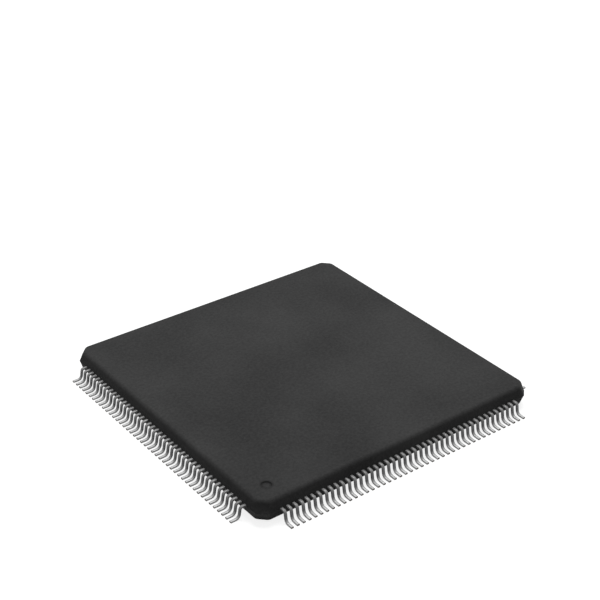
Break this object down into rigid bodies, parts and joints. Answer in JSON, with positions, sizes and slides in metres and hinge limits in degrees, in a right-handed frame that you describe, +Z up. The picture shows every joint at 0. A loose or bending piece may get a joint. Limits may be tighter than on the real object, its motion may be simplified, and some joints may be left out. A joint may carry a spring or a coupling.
{
  "type": "quad flat pack chip",
  "caption": "Thin square chip package: a moulded body with fine gull-wing leads along all its sides, for soldering flat on a circuit board.",
  "frame": {"origin": "on the seating plane, under the centre of the body", "axes": "+Z up from the board, -Y towards the front row, whose -X end holds the first lead, next to the round recess"},
  "size_m": [0.022, 0.022, 0.0014],
  "materials": {
    "mould_compound": "fine matte, as moulded",
    "tinned_lead": "satin tin plate",
    "bare_copper": "plain rolled",
    "die_attach": "matte, silver filled",
    "silicon": "polished",
    "bond_wire": "bright drawn"
  },
  "bodies": {
    "root": {"moulded_body": "mould_compound", "die_paddle": "bare_copper", "die_attach_film": "die_attach", "silicon_die": "silicon", "leads_front_1": "tinned_lead", "leads_front_2": "tinned_lead", "leads_front_3": "tinned_lead", "leads_front_4": "tinned_lead", "leads_right_1": "tinned_lead", "leads_right_2": "tinned_lead", "leads_right_3": "tinned_lead", "leads_right_4": "tinned_lead", "leads_back_1": "tinned_lead", "leads_back_2": "tinned_lead", "leads_back_3": "tinned_lead", "leads_back_4": "tinned_lead", "leads_left_1": "tinned_lead", "leads_left_2": "tinned_lead", "leads_left_3": "tinned_lead", "leads_left_4": "tinned_lead", "bond_wires_front": "bond_wire", "bond_wires_right": "bond_wire", "bond_wires_back": "bond_wire", "bond_wires_left": "bond_wire"}
  },
  "joints": []
}
